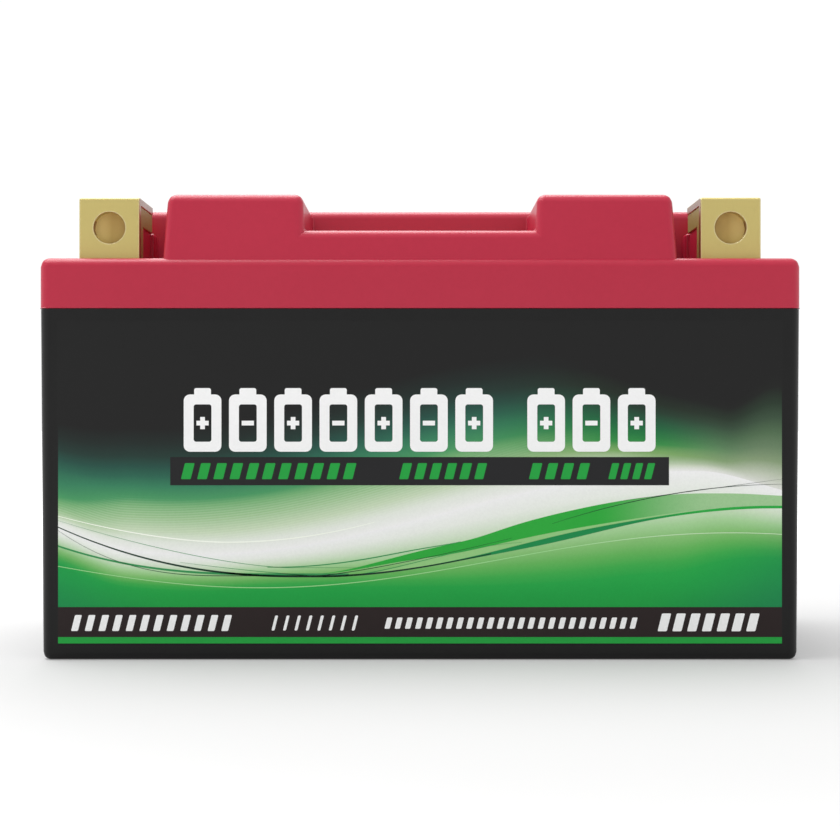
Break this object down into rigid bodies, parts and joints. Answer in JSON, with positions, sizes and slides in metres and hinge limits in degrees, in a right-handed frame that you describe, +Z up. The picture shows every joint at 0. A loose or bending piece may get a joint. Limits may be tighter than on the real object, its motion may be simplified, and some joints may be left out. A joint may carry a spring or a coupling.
{
  "type": "motorcycle battery",
  "caption": "Lithium motorcycle starter battery: black box case, crimson stepped lid, folded brass corner terminals, cylindrical cells and balance board inside.",
  "frame": {"origin": "centre of the bottom face, where the battery stands", "axes": "+X along the length, with the positive terminal at -X; +Y from the labelled front to the back; +Z up"},
  "size_m": [0.15, 0.065, 0.092],
  "materials": {
    "black_case": "satin black, moulded",
    "red_lid": "satin crimson, moulded",
    "sealant": "grey adhesive bead",
    "label": "printed film, black to green",
    "terminal_brass": "matt formed sheet",
    "inner_brass": "matt, machined",
    "potting": "poured resin",
    "cell_steel": "nickel-plated",
    "electrode": "wound foil and film",
    "cell_sleeve": "shrunk film",
    "dark_plastic": "glass-filled, matt",
    "foam": "closed-cell foam",
    "nickel_bar": "nickel strip",
    "copper_bar": "bare copper",
    "steel_screw": "zinc-plated",
    "insulation_sheet": "fibre sheet",
    "circuit_board": "green solder mask",
    "chip": "moulded epoxy",
    "capacitor": "ceramic",
    "white_plastic": "natural nylon",
    "red_lead": "wire insulation",
    "orange_lead": "wire insulation",
    "yellow_lead": "wire insulation",
    "blue_lead": "wire insulation",
    "black_lead": "wire insulation"
  },
  "bodies": {
    "root": {"balance_chips": "chip", "balance_lead_1": "red_lead", "balance_lead_2": "orange_lead", "balance_lead_3": "yellow_lead", "balance_lead_4": "blue_lead", "balance_lead_5": "black_lead", "balance_resistors": "chip", "base_foam": "foam", "board_capacitors": "capacitor", "board_screws": "steel_screw", "busbar_nuts": "steel_screw", "busbar_screws": "steel_screw", "cap_gasket_1": "dark_plastic", "cap_gasket_2": "dark_plastic", "cap_gasket_3": "dark_plastic", "cap_gasket_4": "dark_plastic", "case": "black_case", "cell_can_1": "cell_steel", "cell_can_2": "cell_steel", "cell_can_3": "cell_steel", "cell_can_4": "cell_steel", "cell_cap_1": "cell_steel", "cell_cap_2": "cell_steel", "cell_cap_3": "cell_steel", "cell_cap_4": "cell_steel", "cell_sleeve_1": "cell_sleeve", "cell_sleeve_2": "cell_sleeve", "cell_sleeve_3": "cell_sleeve", "cell_sleeve_4": "cell_sleeve", "circuit_board": "circuit_board", "electrode_roll_1": "electrode", "electrode_roll_2": "electrode", "electrode_roll_3": "electrode", "electrode_roll_4": "electrode", "front_foam": "foam", "front_label": "label", "insulation_sheet": "insulation_sheet", "lead_plug": "white_plastic", "lead_socket": "white_plastic", "left_foam": "foam", "lid": "red_lid", "lid_seal": "sealant", "lower_cell_tray": "dark_plastic", "negative_busbar": "copper_bar", "positive_busbar": "copper_bar", "rear_foam": "foam", "right_foam": "foam", "series_link_1": "nickel_bar", "series_link_2": "nickel_bar", "series_link_3": "nickel_bar", "terminal_block_negative": "inner_brass", "terminal_block_positive": "inner_brass", "terminal_plate_negative": "terminal_brass", "terminal_plate_positive": "terminal_brass", "terminal_potting_negative": "potting", "terminal_potting_positive": "potting", "upper_cell_frame": "dark_plastic"}
  },
  "joints": []
}
